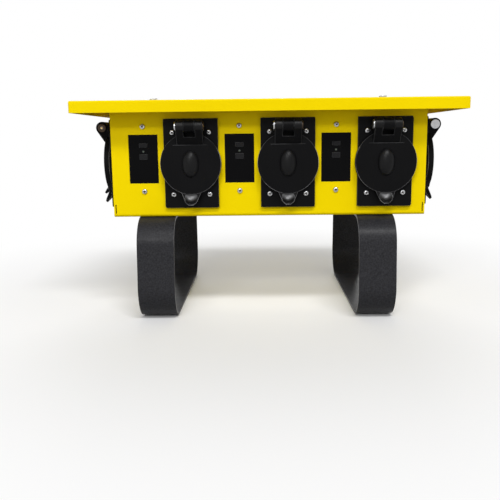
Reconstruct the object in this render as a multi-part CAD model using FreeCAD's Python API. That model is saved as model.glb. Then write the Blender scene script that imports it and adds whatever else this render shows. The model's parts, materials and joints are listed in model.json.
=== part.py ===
import FreeCAD, Part
import math
import os

# Portable power distribution box: a folded sheet-steel enclosure under an overhanging roof,
# standing on two bent strap feet, with weatherproof outlets, an inlet and a breaker door.
# Millimetres. +Z is up, the front faces -Y, the origin is on the ground under the box's centre.

# Enclosure
box_width = 406.0
box_depth = 248.0
box_height = 148.0
sheet = 2.0
bend = 4.0
wall_flange = 16.0
corner_slit_width = 1.5
corner_slit_height = 12.0
shelf_width = 12.0
shelf_inset = 10.0
roof_width = 491.5
roof_depth = 319.0
roof_lip = 14.6
roof_gap = 2.2
roof_screw_x = 147.0

# Strap feet
foot_height = 134.0
foot_width = 48.0
foot_sheet = 3.0
foot_left_x = -146.0
foot_right_x = 139.0
foot_top_reach = 149.0
foot_floor_reach = 160.0
foot_top_bend = 38.0
foot_floor_bend = 42.0
foot_front_end = 42.0
foot_back_end = 67.0
foot_bolt_shift = 11.0
foot_bolt_y = 91.0

# Places of the devices on the walls
front_first_x = -161.5
front_pitch = 62.2
back_outlet_left_x = 161.2
back_outlet_right_x = -154.4
back_gfci_x = -84.5
side_front_inset = 49.0
side_back_inset = 60.0
plate_rise = 69.0
gfci_rise = 75.0

# Flip-lid outlets
gasket_thickness = 1.0
plate_width = 69.85
plate_height = 114.3
plate_thickness = 4.0
plate_corner = 3.0
plate_bore = 26.0
socket_radius = 21.0
socket_depth = 30.0
socket_stand = 3.5
socket_sides = 8
slot_circle = 9.6
slot_width = 2.4
slot_span = 44.0
slot_depth = 7.0
slot_count = 3

# Flip lids and their hinges
lid_radius = 39.0
lid_thickness = 3.8
lid_seat_gap = 0.5
lid_skirt_wall = 3.5
lid_skirt_depth = 3.4
band_width = 39.0
band_slope = 6.5
band_height = 1.2
band_top = 24.0
knob_width = 22.0
knob_length = 35.0
knob_height = 7.0
tab_width = 26.0
tab_reach = 54.0
tab_root = 3.0
tab_tip = 2.0
tab_tip_radius = 9.0
tab_bulge = 1.0
tab_lip = 1.5
tab_scoop = 3.0
tab_flare = 8.5
hinge_rise = 47.0
hinge_stand = 9.3
barrel_radius = 8.1
knuckle_width = 13.7
ear_width = 9.6
knuckle_gap = 0.4
knuckle_rise = 6.5
notch_bottom = 33.7
lid_pin_radius = 2.5
pin_head_radius = 6.0
pin_head = 1.6
pin_tail_radius = 5.2
pin_tail = 1.2
pin_play = 0.2
running_fit = 0.05

# Inlet
inlet_flange = 84.0
inlet_flange_thickness = 5.0
inlet_flange_corner = 8.0
inlet_radius = 35.0
inlet_rim_radius = 33.0
inlet_rim_length = 6.0
inlet_length = 39.0
inlet_bore = 30.0
inlet_face = 14.0
inlet_back = 26.0
inlet_skirt_depth = 3.0
inlet_tab_depth = 11.0
inlet_tab_flare = 12.7
blade_length = 20.0
blade_circle = 17.0
blade_thickness = 2.0
blade_span = 40.0
blade_count = 3

# Ground-fault modules
window_width = 38.0
window_height = 62.7
gfci_recess = 1.0
gfci_body_width = 38.6
gfci_body_height = 68.0
gfci_depth = 22.0
gfci_ear_width = 26.0
gfci_ear_height = 96.0
gfci_ear_thickness = 3.0
button_width = 10.5
test_height = 5.3
test_rise = 17.6
reset_height = 7.0
reset_rise = 2.9
button_proud = 1.2
button_length = 5.2
button_pocket = 6.0
lamp_radius = 1.3
lamp_rise = 9.8
lamp_proud = 0.4

# Access door and its hinge
door_left_x = 113.2
door_width = 158.6
door_height = 108.2
door_rise = 9.3
door_depth = 12.0
door_corner = 3.0
door_sheet = 2.0
window_side_margin = 5.3
window_end_margin = 9.1
hinge_out = 4.0
hinge_above_door = 3.0
door_barrel_radius = 3.5
door_pin_radius = 1.5
leaf_thickness = 1.5
leaf_height = 11.0
leaf_chamfer = 3.0
hinge_span_count = 5
hinge_gap = 0.5

# Breakers behind the door
dead_front_side_inset = 1.3
dead_front_end_inset = 4.1
dead_front_thickness = 1.5
pole_pitch = 17.8
pole_gap = 0.2
double_poles = 2
nose_height = 45.0
nose_length = 14.5
nose_recess = 0.5
breaker_height = 80.0
breaker_depth = 52.5
toggle_width = 7.0
toggle_radius = 5.5
toggle_length = 15.0
toggle_tip = 4.0
toggle_pivot = 6.5
toggle_tilt = 25.0
toggle_pocket_height = 17.0
toggle_pocket_depth = 13.0
toggle_side_gap = 0.4
rail_width = 35.0
rail_depth = 7.5
rail_hat = 27.0
rail_sheet = 1.0
rail_overhang = 4.0
bracket_overhang = 12.0
bracket_foot = 56.0

# Bonding and neutral bars on the floor of the box
neutral_left_x = 13.0
neutral_right_x = 56.0
neutral_y = -33.0
neutral_post_radius = 7.0
neutral_post_height = 12.0
neutral_overhang = 9.0
neutral_width = 12.0
neutral_height = 10.0
neutral_slot_width = 5.0
neutral_slot_depth = 6.0
neutral_slot_count = 5
lug_inset = 10.3
lug_gap = 1.0
lug_width = 14.0
lug_length = 20.0
lug_height = 11.0
lug_hole_radius = 3.0

# Fasteners and clearances
bolt_radius = 3.0
bolt_flats = 10.0
bolt_head = 4.0
nut_height = 5.0
screw_radius = 2.5
screw_head_radius = 5.0
screw_head = 4.2
screw_length = 14.0
thread_end = 1.0
hole_clearance = 0.3
slip = 0.3

# Levels
box_floor = foot_height
roof_top = foot_height + box_height
roof_under = roof_top - sheet
wall_top = roof_under - roof_gap
side_front_y = -box_depth / 2 + side_front_inset
side_back_y = box_depth / 2 - side_back_inset
roof_screw_y = (box_depth - wall_flange) / 2
plate_face = gasket_thickness + plate_thickness
socket_face = plate_face + socket_stand
lid_inside = socket_face + lid_seat_gap
lid_outside = lid_inside + lid_thickness
hinge_stand_out = lid_inside + hinge_stand
inlet_lid_shift = inlet_length + lid_seat_gap - lid_inside
door_centre_x = door_left_x - door_width / 2
door_centre_rise = door_rise + door_height / 2
door_axis_rise = door_height / 2 + hinge_above_door
door_window_width = door_width - 2 * window_side_margin
door_window_height = door_height - 2 * window_end_margin
dead_front_width = door_width - 2 * dead_front_side_inset
dead_front_height = door_height - 2 * dead_front_end_inset
pole_count = int(door_window_width // pole_pitch)
single_breakers = pole_count - double_poles
row_width = pole_count * pole_pitch
nose_face = -sheet - nose_recess
rail_out = nose_face - nose_length - breaker_depth
bracket_y = box_depth / 2 + rail_out - rail_depth
lug_x = door_centre_x - row_width / 2 - bracket_overhang + lug_inset
lug_y = bracket_y + lug_gap + lug_length / 2


def vec(x, y, z):
    return FreeCAD.Vector(x, y, z)


def block(x0, x1, y0, y1, z0, z1):
    """A box between two corners."""
    return Part.makeBox(x1 - x0, y1 - y0, z1 - z0, vec(x0, y0, z0))


def outline(points, radii, to_space):
    """A closed wire through plane points, each corner rounded by its radius."""
    edges = []
    starts = []
    ends = []
    count = len(points)
    for i, (a, b) in enumerate(points):
        before = points[i - 1]
        after = points[(i + 1) % count]
        if radii[i] <= 0:
            starts.append((a, b))
            ends.append((a, b))
            continue
        d1 = unit(a - before[0], b - before[1])
        d2 = unit(after[0] - a, after[1] - b)
        half = math.acos(max(-1.0, min(1.0, d1[0] * d2[0] + d1[1] * d2[1]))) / 2
        run = radii[i] * math.tan(half)
        inward = unit(d2[0] - d1[0], d2[1] - d1[1])
        lift = radii[i] / math.cos(half) - radii[i]
        start = (a - d1[0] * run, b - d1[1] * run)
        end = (a + d2[0] * run, b + d2[1] * run)
        middle = (a + inward[0] * lift, b + inward[1] * lift)
        edges.append(Part.Arc(to_space(*start), to_space(*middle), to_space(*end)).toShape())
        starts.append(start)
        ends.append(end)
    for i in range(count):
        line_from = to_space(*ends[i])
        line_to = to_space(*starts[(i + 1) % count])
        if (line_to - line_from).Length > 1e-6:
            edges.append(Part.makeLine(line_from, line_to))
    return Part.Wire(Part.__sortEdges__(edges))


def unit(a, b):
    size = math.hypot(a, b)
    return (a / size, b / size)


def prism(points, radii, to_space, along):
    """A rounded outline swept straight along a vector."""
    return Part.Face(outline(points, radii, to_space)).extrude(along)


def offset_path(points, distance):
    """An open path moved to its left by a distance, with mitred corners."""
    moved = []
    for i, (a, b) in enumerate(points):
        d1 = unit(a - points[i - 1][0], b - points[i - 1][1]) if i > 0 else None
        d2 = unit(points[i + 1][0] - a, points[i + 1][1] - b) if i < len(points) - 1 else None
        d1 = d1 or d2
        d2 = d2 or d1
        n1 = (-d1[1], d1[0])
        n2 = (-d2[1], d2[0])
        share = distance / (1 + n1[0] * n2[0] + n1[1] * n2[1])
        moved.append((a + (n1[0] + n2[0]) * share, b + (n1[1] + n2[1]) * share))
    return moved


def folded_strip(points, bends, thickness, to_space, along):
    """Sheet metal folded along an open path: the path is one face, the other lies to its left."""
    right_radii = [0.0]
    left_radii = [0.0]
    for i in range(1, len(points) - 1):
        d1 = (points[i][0] - points[i - 1][0], points[i][1] - points[i - 1][1])
        d2 = (points[i + 1][0] - points[i][0], points[i + 1][1] - points[i][1])
        turns_left = d1[0] * d2[1] - d1[1] * d2[0] > 0
        right_radii.append(bends[i - 1] if turns_left else bends[i - 1] - thickness)
        left_radii.append(bends[i - 1] - thickness if turns_left else bends[i - 1])
    right_radii.append(0.0)
    left_radii.append(0.0)
    around = points + offset_path(points, thickness)[::-1]
    return prism(around, right_radii + left_radii[::-1], to_space, along)


def slab(width, height, corner, out0, out1, x=0.0, z=0.0):
    """A rounded plate in device axes, between two distances out from the wall."""
    w = width / 2
    h = height / 2
    points = [(x - w, z - h), (x + w, z - h), (x + w, z + h), (x - w, z + h)]
    return prism(points, [corner] * 4, lambda a, b: vec(a, -out0, b), vec(0, out0 - out1, 0))


def disc(radius, out0, out1, x=0.0, z=0.0):
    """A round pad in device axes, between two distances out from the wall."""
    return Part.makeCylinder(radius, out1 - out0, vec(x, -out0, z), vec(0, -1, 0))


def turned(profile):
    """A solid of revolution about the device's outward axis from (radius, out) points."""
    corners = [vec(r, -out, 0) for r, out in profile]
    face = Part.Face(Part.makePolygon(corners + corners[:1]))
    return face.revolve(vec(0, 0, 0), vec(0, 1, 0), 360)


def rod_x(radius, x0, x1, out, z):
    """A round bar along the device's width."""
    return Part.makeCylinder(radius, x1 - x0, vec(x0, -out, z), vec(1, 0, 0))


def side_profile(points, x0, x1):
    """A shape with straight sides drawn as (out, z) points and swept across the device's width."""
    corners = [vec(x0, -out, z) for out, z in points]
    return Part.Face(Part.makePolygon(corners + corners[:1])).extrude(vec(x1 - x0, 0, 0))


def ring_slots(circle, width, span, count, out0, out1):
    """Curved bars spaced evenly on a circle: blades, or the slots that take them."""
    bars = []
    for i in range(count):
        bar = Part.makeCylinder(circle + width / 2, out1 - out0, vec(0, -out0, 0), vec(0, -1, 0), span)
        bar = bar.cut(disc(circle - width / 2, out0, out1))
        bar.rotate(vec(0, 0, 0), vec(0, 1, 0), 360.0 * i / count)
        bars.append(bar)
    return bars


def hexagon(flats, z0, z1, x, y):
    """A hexagonal prism standing on Z."""
    corner = flats / 2 / math.cos(math.pi / 6)
    angles = [math.pi / 3 * i for i in range(6)]
    points = [vec(x + corner * math.cos(a), y + corner * math.sin(a), z0) for a in angles]
    return Part.Face(Part.makePolygon(points + points[:1])).extrude(vec(0, 0, z1 - z0))


def post(radius, z0, z1, x, y):
    return Part.makeCylinder(radius, z1 - z0, vec(x, y, z0))


def on_wall(shape, wall, at, rise):
    """Carry a shape from device axes (outward is -y) to a place on one of the four walls."""
    walls = {
        "front": (0, vec(at, -box_depth / 2, 0)),
        "back": (180, vec(at, box_depth / 2, 0)),
        "left": (-90, vec(-box_width / 2, at, 0)),
        "right": (90, vec(box_width / 2, at, 0)),
    }
    angle, spot = walls[wall]
    placed = shape.copy()
    placed.rotate(vec(0, 0, 0), vec(0, 0, 1), angle)
    placed.translate(vec(spot.x, spot.y, box_floor + rise))
    return placed


def to_yz(a, b):
    return vec(0, a, b)


def to_xz(a, b):
    return vec(a, 0, b)


# Where each device sits: wall, place along it
outlets = {
    "front_left": ("front", front_first_x + front_pitch),
    "front_middle": ("front", front_first_x + 3 * front_pitch),
    "front_right": ("front", front_first_x + 5 * front_pitch),
    "back_left": ("back", back_outlet_left_x),
    "back_right": ("back", back_outlet_right_x),
    "left_front": ("left", side_front_y),
    "right_front": ("right", side_front_y),
    "right_back": ("right", side_back_y),
}
gfcis = [
    ("front", front_first_x),
    ("front", front_first_x + 2 * front_pitch),
    ("front", front_first_x + 4 * front_pitch),
    ("back", back_gfci_x),
]
inlet_site = ("left", side_back_y)
foot_xs = (foot_left_x, foot_right_x)
roof_screws_xy = [(sx * roof_screw_x, sy * roof_screw_y) for sx in (-1, 1) for sy in (-1, 1)]
foot_bolts_xy = [
    (foot_x + end * foot_bolt_shift, end * foot_bolt_y) for foot_x in foot_xs for end in (-1, 1)
]


def wall_cuts(wall):
    """Openings that the devices of one wall need in its sheet."""
    cuts = []
    for outlet_wall, at in outlets.values():
        if outlet_wall == wall:
            cuts.append(on_wall(disc(socket_radius + slip, -2 * sheet, sheet), wall, at, plate_rise))
    for gfci_wall, at in gfcis:
        if gfci_wall == wall:
            window = slab(window_width, window_height, 0, -2 * sheet, sheet)
            cuts.append(on_wall(window, wall, at, gfci_rise))
    if inlet_site[0] == wall:
        cuts.append(on_wall(disc(inlet_bore, -2 * sheet, sheet), wall, inlet_site[1], plate_rise))
    if wall == "back":
        window = slab(door_window_width, door_window_height, 0, -2 * sheet, sheet)
        cuts.append(on_wall(window, wall, door_centre_x, door_centre_rise))
    return cuts


def enclosure_tub():
    """Front wall, floor and back wall folded from one sheet, with in-turned top flanges."""
    front = -box_depth / 2
    back = box_depth / 2
    path = [
        (front + wall_flange, wall_top),
        (front, wall_top),
        (front, box_floor),
        (back, box_floor),
        (back, wall_top),
        (back - wall_flange, wall_top),
    ]
    half = box_width / 2 - sheet
    tub = folded_strip(path, [bend] * 4, sheet, to_yz, vec(2 * half, 0, 0))
    tub.translate(vec(-half, 0, 0))
    cuts = wall_cuts("front") + wall_cuts("back")
    for side in (-1, 1):
        edge = side * (half - corner_slit_width / 2)
        for wall_y in (front + sheet / 2, back - sheet / 2):
            slit = block(
                edge - corner_slit_width / 2,
                edge + corner_slit_width / 2,
                wall_y - sheet,
                wall_y + sheet,
                box_floor + bend,
                box_floor + bend + corner_slit_height,
            )
            cuts.append(slit)
    for x, y in foot_bolts_xy:
        cuts.append(post(bolt_radius + hole_clearance, box_floor - sheet, box_floor + 2 * sheet, x, y))
    for x, y in roof_screws_xy:
        cuts.append(post(screw_radius + hole_clearance, wall_top - 2 * sheet, wall_top + sheet, x, y))
    return tub.cut(cuts)


def side_panel(side):
    """An end wall with its top edge turned out into a shelf that carries the roof."""
    half = box_width / 2
    shelf_face = roof_under - sheet
    path = [(half, box_floor), (half, shelf_face), (half + shelf_width, shelf_face)]
    shelf_run = box_depth - 2 * shelf_inset
    shelf = folded_strip(path, [bend], sheet, to_xz, vec(0, shelf_run, 0))
    shelf.translate(vec(0, -shelf_run / 2, 0))
    wall = block(half - sheet, half, -box_depth / 2, box_depth / 2, box_floor, wall_top)
    corners = [
        (-box_depth / 2, box_floor),
        (box_depth / 2, box_floor),
        (box_depth / 2, roof_top),
        (-box_depth / 2, roof_top),
    ]
    trim = prism(corners, [bend, bend, 0, 0], to_yz, vec(box_width, 0, 0))
    panel = wall.fuse(shelf).common(trim).removeSplitter()
    if side == "left":
        panel = panel.mirror(vec(0, 0, 0), vec(1, 0, 0))
    return panel.cut(wall_cuts(side))


def roof():
    """A shallow pan turned over the box, its lip hanging all round."""
    outer = block(
        -roof_width / 2, roof_width / 2, -roof_depth / 2, roof_depth / 2, roof_top - roof_lip, roof_top
    )
    inner = block(
        -roof_width / 2 + sheet,
        roof_width / 2 - sheet,
        -roof_depth / 2 + sheet,
        roof_depth / 2 - sheet,
        roof_top - 2 * roof_lip,
        roof_under,
    )
    holes = [
        post(screw_radius + hole_clearance, roof_under - sheet, roof_top + sheet, x, y)
        for x, y in roof_screws_xy
    ]
    return round_pan(outer, sheet, roof_top).cut([inner] + holes)


def round_pan(solid, radius, top):
    """Round a block's upright edges and the edges of its top face."""
    edges = []
    for edge in solid.Edges:
        ends = [v.Point.z for v in edge.Vertexes]
        upright = abs(ends[0] - ends[1]) > radius
        at_top = min(ends) > top - radius
        if upright or at_top:
            edges.append(edge)
    return solid.makeFillet(radius, edges)


def roof_screws():
    """Screws that hold the roof down to the top flanges of the box."""
    screws = []
    for x, y in roof_screws_xy:
        shank = post(screw_radius, roof_top - screw_length, roof_top, x, y)
        screws.append(post(screw_head_radius, roof_top, roof_top + screw_head, x, y).fuse(shank))
    return screws


def foot(x):
    """A strap bent into an open loop, its two ends turned in and bolted under the box."""
    path = [
        (-foot_front_end, box_floor),
        (-foot_top_reach, box_floor),
        (-foot_floor_reach, 0.0),
        (foot_floor_reach, 0.0),
        (foot_top_reach, box_floor),
        (foot_back_end, box_floor),
    ]
    bends = [foot_top_bend, foot_floor_bend, foot_floor_bend, foot_top_bend]
    strap = folded_strip(path, bends, foot_sheet, to_yz, vec(foot_width, 0, 0))
    strap.translate(vec(x - foot_width / 2, 0, 0))
    holes = [
        post(bolt_radius + hole_clearance, box_floor - 2 * foot_sheet, box_floor + sheet, hole_x, hole_y)
        for hole_x, hole_y in foot_bolts_xy
        if abs(hole_x - x) < foot_width / 2
    ]
    return strap.cut(holes)


def foot_bolts():
    """Hexagon-head bolts up through the strap ends and the floor of the box."""
    bolts = []
    seat = box_floor - foot_sheet
    for x, y in foot_bolts_xy:
        shank = post(bolt_radius, seat, box_floor + sheet + nut_height + thread_end, x, y)
        bolts.append(hexagon(bolt_flats, seat - bolt_head, seat, x, y).fuse(shank))
    return bolts


def foot_nuts():
    seat = box_floor + sheet
    nuts = []
    for x, y in foot_bolts_xy:
        bore = post(bolt_radius + running_fit, seat, seat + nut_height, x, y)
        nuts.append(hexagon(bolt_flats, seat, seat + nut_height, x, y).cut(bore))
    return nuts


def outlet_plate():
    """Cover plate bored for the receptacle, with the fixed knuckle of the lid hinge."""
    plate = slab(plate_width, plate_height, plate_corner, gasket_thickness, plate_face)
    knuckle = lid_knuckle(plate_face, hinge_rise - knuckle_rise + slip)
    bore = rod_x(lid_pin_radius + running_fit, -knuckle_width, knuckle_width, hinge_stand_out, hinge_rise)
    return plate.fuse(knuckle).cut([disc(plate_bore, 0, plate_face), bore])


def lid_knuckle(root, bottom):
    """The fixed middle of a lid hinge: an arm from its root out to a round barrel."""
    half = knuckle_width / 2
    arm = side_profile(
        [
            (root, bottom),
            (hinge_stand_out, bottom),
            (hinge_stand_out, hinge_rise + knuckle_rise),
            (root, hinge_rise + knuckle_rise),
        ],
        -half,
        half,
    )
    return arm.fuse(rod_x(barrel_radius, -half, half, hinge_stand_out, hinge_rise))


def lid_pin():
    """Rivet through the lid's ears, with a broad head at its left end and a smaller one at its right."""
    half = knuckle_width / 2 + knuckle_gap + ear_width + pin_play
    shank = rod_x(lid_pin_radius, -half, half, hinge_stand_out, hinge_rise)
    head = rod_x(pin_head_radius, -half - pin_head, -half, hinge_stand_out, hinge_rise)
    tail = rod_x(pin_tail_radius, half, half + pin_tail, hinge_stand_out, hinge_rise)
    return shank.fuse([head, tail])


def flip_lid(skirt_depth, tab_depth, flare):
    """Round lid with a raised band, a thumb knob, a flared finger tab and two hinge ears."""
    skirt = lid_radius - lid_skirt_wall
    lid = turned(
        [
            (0, lid_inside),
            (skirt, lid_inside),
            (skirt, lid_inside - skirt_depth),
            (lid_radius, lid_inside - skirt_depth),
            (lid_radius, lid_outside),
            (0, lid_outside),
        ]
    )
    band_face = lid_outside + band_height
    base = (band_width + band_slope) / 2
    crest = (band_width - band_slope) / 2
    band = prism(
        [(-base, -lid_outside), (-crest, -band_face), (crest, -band_face), (base, -lid_outside)],
        [0] * 4,
        lambda a, b: vec(a, b, -lid_radius),
        vec(0, 0, lid_radius + band_top),
    ).common(disc(lid_radius, lid_outside, band_face))
    inner = knuckle_width / 2 + knuckle_gap
    lid = lid.fuse([band, lid_knob(band_face), lid_tab(tab_depth, flare), lid_ears(inner + ear_width)])
    notch = block(
        -inner, inner, -2 * hinge_stand_out, 0, notch_bottom, hinge_rise + 2 * barrel_radius
    )
    bore = rod_x(lid_pin_radius + running_fit, -lid_radius, lid_radius, hinge_stand_out, hinge_rise)
    return lid.cut([notch, bore])


def tangent_point(point, centre, radius, side):
    """Where a line from a point touches a circle, on its left (1) or right (-1)."""
    run = (centre[0] - point[0], centre[1] - point[1])
    distance = math.hypot(*run)
    angle = math.atan2(run[1], run[0]) + side * math.asin(radius / distance)
    length = math.sqrt(distance * distance - radius * radius)
    return (point[0] + length * math.cos(angle), point[1] + length * math.sin(angle))


def lid_ears(half):
    """The wedge that runs from the lid up to its hinge barrel, before it is notched into two ears."""
    inner = (lid_inside, band_top)
    outer = (lid_outside, band_top)
    centre = (hinge_stand_out, hinge_rise)
    outer_touch = tangent_point(outer, centre, barrel_radius, -1)
    inner_touch = tangent_point(inner, centre, barrel_radius, 1)
    wedge = side_profile([inner, outer, outer_touch, centre, inner_touch], -half, half)
    return wedge.fuse(rod_x(barrel_radius, -half, half, hinge_stand_out, hinge_rise))


def lid_knob(face):
    """A thumb knob with a domed top: a round bar with ball ends, sunk into the lid's band."""
    half = knob_width / 2
    radius = (half * half + knob_height * knob_height) / (2 * knob_height)
    reach = knob_length / 2 - half
    top = face + knob_height
    bar = Part.makeCylinder(radius, 2 * reach, vec(0, radius - top, -reach))
    for end in (-reach, reach):
        bar = bar.fuse(Part.makeSphere(radius, vec(0, radius - top, end)))
    return bar.removeSplitter().common(block(-radius, radius, -top, -face, -knob_length, knob_length))


def lid_tab(depth, flare):
    """A finger tab below the lid: a wedge that flares away from the wall, with a scoop in its face."""
    root = tab_root - lid_radius
    tip_out = lid_outside + flare
    inner_root = vec(0, depth - lid_inside, root)
    inner_tip = vec(0, tab_tip - tip_out, -tab_reach)
    outer_tip = vec(0, -tip_out, tab_tip - tab_reach)
    outer_root = vec(0, -lid_outside, root)
    inner_middle = (inner_root + inner_tip) * 0.5 + vec(0, 0, -tab_bulge)
    edges = [
        Part.Arc(inner_root, inner_middle, inner_tip).toShape(),
        Part.makeLine(inner_tip, outer_tip),
        Part.makeLine(outer_tip, outer_root),
        Part.makeLine(outer_root, inner_root),
    ]
    half = tab_width / 2
    wedge = Part.Face(Part.Wire(edges)).extrude(vec(tab_width, 0, 0))
    wedge.translate(vec(-half, 0, 0))
    return wedge.common(tab_plan(root, depth, tip_out)).cut(tab_dish(outer_root, outer_tip))


def tab_plan(root, depth, tip_out):
    """The finger tab's outline as seen from outside: two straight flanks and a round tip."""
    half = tab_width / 2
    x, z = tangent_point((half, root), (0, tab_tip_radius - tab_reach), tab_tip_radius, 1)
    plan = Part.Wire(
        [
            Part.makeLine(vec(half, depth, root), vec(-half, depth, root)),
            Part.makeLine(vec(-half, depth, root), vec(-x, depth, z)),
            Part.Arc(vec(-x, depth, z), vec(0, depth, -tab_reach), vec(x, depth, z)).toShape(),
            Part.makeLine(vec(x, depth, z), vec(half, depth, root)),
        ]
    )
    return Part.Face(plan).extrude(vec(0, -tip_out - depth, 0))


def tab_dish(start, end):
    """The ball that scoops out the finger tab's face between its root and its lip."""
    face = end - start
    chord = face.Length - tab_lip
    radius = (chord * chord / 4 + tab_scoop * tab_scoop) / (2 * tab_scoop)
    along = face * (1 / face.Length)
    outward_up = vec(0, along.z, -along.y)
    centre = start + along * (chord / 2) + outward_up * (radius - tab_scoop)
    return Part.makeSphere(radius, centre)


def receptacle():
    """Twist-lock receptacle: a round nose seated on the wall, with curved slots in its face."""
    nose = disc(plate_bore - slip, 0, socket_face)
    angles = [2 * math.pi * (i + 0.5) / socket_sides for i in range(socket_sides)]
    corners = [(socket_radius * math.cos(a), socket_radius * math.sin(a)) for a in angles]
    body = prism(corners, [0] * socket_sides, to_xz, vec(0, socket_depth, 0))
    slots = ring_slots(slot_circle, slot_width, slot_span, slot_count, socket_face - slot_depth, socket_face)
    return nose.fuse(body).cut(slots)


def plate_gasket():
    """Flat seal between a cover plate and the wall, with a square opening for the receptacle."""
    seal = slab(plate_width, plate_height, 0, 0, gasket_thickness)
    opening = 2 * (plate_bore + slip)
    return seal.cut(slab(opening, opening, 0, 0, gasket_thickness))


def inlet_housing():
    """Deep round shroud on a square flange, with the lug of its lid hinge along the top."""
    back_flange = slab(inlet_flange, inlet_flange, inlet_flange_corner, 0, inlet_flange_thickness)
    step = inlet_length - inlet_rim_length
    tube = disc(inlet_radius, 0, step).fuse(disc(inlet_rim_radius, step, inlet_length))
    barrel_out = hinge_stand_out + inlet_lid_shift
    top = hinge_rise + barrel_radius
    low = notch_bottom + knuckle_gap
    half = knuckle_width / 2
    lug = side_profile(
        [
            (0, inlet_rim_radius - slip),
            (step, inlet_rim_radius - slip),
            (step, low),
            (barrel_out, low),
            (barrel_out, top),
            (0, top),
        ],
        -half,
        half,
    )
    barrel = rod_x(barrel_radius, -half, half, barrel_out, hinge_rise)
    housing = back_flange.fuse([tube, lug, barrel])
    bore = rod_x(lid_pin_radius + running_fit, -knuckle_width, knuckle_width, barrel_out, hinge_rise)
    return housing.cut([disc(inlet_bore, 0, inlet_length), bore]).removeSplitter()


def inlet_insert():
    """Insulating core that carries the inlet's blades."""
    return disc(inlet_bore - slip, -inlet_back, inlet_face)


def inlet_blades():
    return ring_slots(
        blade_circle, blade_thickness, blade_span, blade_count, inlet_face, inlet_face + blade_length
    )


def outward(shape, distance):
    """Move a shape away from the wall in device axes."""
    moved = shape.copy()
    moved.translate(vec(0, -distance, 0))
    return moved


def gfci_body():
    """Ground-fault module: a moulded block behind the wall with its face in the window."""
    face = -gfci_recess
    back = -sheet - gfci_depth
    parts = [
        slab(window_width - 2 * slip, window_height - 2 * slip, 0, back, face),
        slab(gfci_ear_width, gfci_ear_height, 0, -sheet - gfci_ear_thickness, -sheet),
    ]
    body = slab(gfci_body_width, gfci_body_height, 0, back, -sheet).fuse(parts).removeSplitter()
    cuts = []
    for height, rise in ((test_height, test_rise), (reset_height, reset_rise)):
        pocket = slab(
            button_width + 2 * slip, height + 2 * slip, 0, face - button_pocket, face, z=rise
        )
        cuts.append(pocket)
    return body.cut(cuts)


def gfci_button(height, rise):
    face = -gfci_recess + button_proud
    return slab(button_width, height, 0, face - button_length, face, z=rise)


def gfci_lamp():
    return disc(lamp_radius, -gfci_recess, lamp_proud - gfci_recess, z=lamp_rise)


def hinge_spans(own):
    """Stretches of the door hinge that belong to the door (odd spans) or to the fixed leaf."""
    span = door_width / hinge_span_count
    picked = range(0, hinge_span_count, 2) if own == "door" else range(1, hinge_span_count, 2)
    return [
        (-door_width / 2 + span * i + hinge_gap / 2, -door_width / 2 + span * (i + 1) - hinge_gap / 2)
        for i in picked
    ]


def access_door():
    """Pan-shaped breaker door with knuckles along its top edge."""
    outer = slab(door_width, door_height, door_corner, slip, door_depth)
    front_edges = [e for e in outer.Edges if all(abs(v.Point.y + door_depth) < slip for v in e.Vertexes)]
    outer = outer.makeFillet(door_sheet, front_edges)
    hollow = slab(
        door_width - 2 * door_sheet,
        door_height - 2 * door_sheet,
        0,
        0,
        door_depth - door_sheet,
    )
    top = door_height / 2
    lip_relief = block(
        -door_width, door_width, -hinge_out, 0, top - door_sheet - hinge_gap, top + door_sheet
    )
    door = outer.cut([hollow, lip_relief])
    spans = hinge_spans("door")
    door = door.fuse([rod_x(door_barrel_radius, x0, x1, hinge_out, door_axis_rise) for x0, x1 in spans])
    cuts = [
        rod_x(door_barrel_radius + hinge_gap, x0 - hinge_gap, x1 + hinge_gap, hinge_out, door_axis_rise)
        for x0, x1 in hinge_spans("leaf")
    ]
    cuts.append(rod_x(door_pin_radius + running_fit, -door_width, door_width, hinge_out, door_axis_rise))
    return door.cut(cuts)


def door_hinge_leaf():
    """Fixed leaf above the door, notched round the door's knuckles."""
    half = door_width / 2
    low = door_axis_rise + door_barrel_radius + hinge_gap
    high = door_axis_rise + leaf_height
    points = [(-half, low), (half, low), (half, high - leaf_chamfer), (half - leaf_chamfer, high)]
    points += [(leaf_chamfer - half, high), (-half, high - leaf_chamfer)]
    leaf = prism(points, [0] * 6, to_xz, vec(0, -leaf_thickness, 0))
    pieces = []
    for x0, x1 in hinge_spans("leaf"):
        pieces.append(block(x0, x1, -leaf_thickness, 0, door_axis_rise, low))
        pieces.append(rod_x(door_barrel_radius, x0, x1, hinge_out, door_axis_rise))
    bore = rod_x(door_pin_radius + running_fit, -half, half, hinge_out, door_axis_rise)
    return leaf.fuse(pieces).cut(bore)


def door_hinge_pin():
    return rod_x(door_pin_radius, -door_width / 2, door_width / 2, hinge_out, door_axis_rise)


def breaker_sites():
    """Centre and pole count of each breaker along the row, in device axes."""
    sites = []
    edge = -row_width / 2
    for poles in [1] * single_breakers + [double_poles]:
        width = poles * pole_pitch
        sites.append((edge + width / 2, poles))
        edge += width
    return sites


def breaker_body(poles):
    """Rail-mounted breaker with a stepped front and a pocket for its toggle."""
    half = poles * pole_pitch / 2 - pole_gap / 2
    step = nose_face - nose_length
    body = side_profile(
        [
            (rail_out, -breaker_height / 2),
            (step, -breaker_height / 2),
            (step, -nose_height / 2),
            (nose_face, -nose_height / 2),
            (nose_face, nose_height / 2),
            (step, nose_height / 2),
            (step, breaker_height / 2),
            (rail_out, breaker_height / 2),
        ],
        -half,
        half,
    )
    reach = toggle_half_width(poles) + toggle_side_gap
    pocket = block(
        -reach,
        reach,
        -nose_face,
        -nose_face + toggle_pocket_depth,
        -toggle_pocket_height / 2,
        toggle_pocket_height / 2,
    )
    return body.cut(pocket)


def toggle_half_width(poles):
    return toggle_width / 2 + (poles - 1) * pole_pitch / 2


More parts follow.
